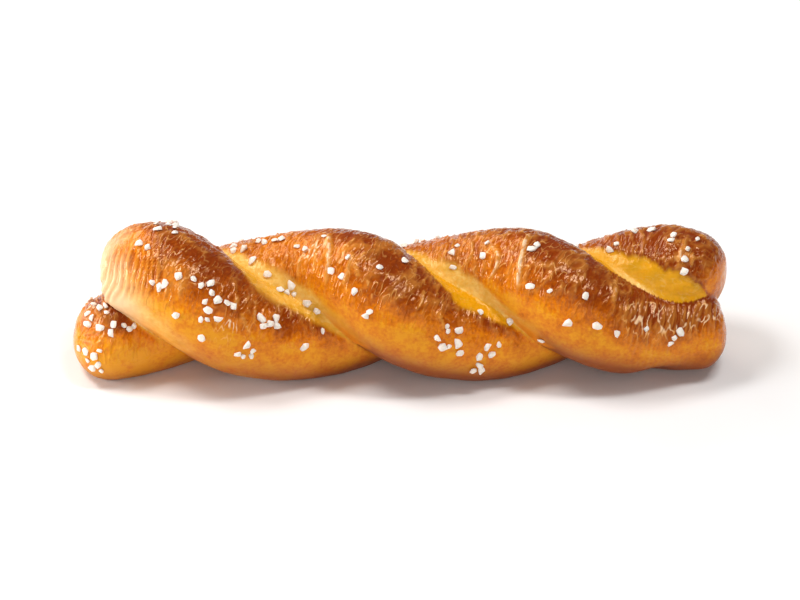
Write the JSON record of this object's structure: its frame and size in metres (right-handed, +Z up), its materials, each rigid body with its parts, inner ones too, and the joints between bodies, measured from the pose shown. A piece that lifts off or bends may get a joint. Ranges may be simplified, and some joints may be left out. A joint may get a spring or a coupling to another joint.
{
  "type": "soft pretzel twist",
  "caption": "Soft baked pretzel stick: rolls of dough wound round each other like a rope and fused, with blunt ends and a flat underside to rest on.",
  "frame": {"origin": "middle of the footprint, on the surface that the bread rests on", "axes": "+X along the twist, +Y away from the shown side, +Z up"},
  "size_m": [0.1794, 0.0428, 0.0407],
  "materials": {
    "baked_crust": null
  },
  "bodies": {
    "root": {"pretzel_twist": "baked_crust"}
  },
  "joints": []
}
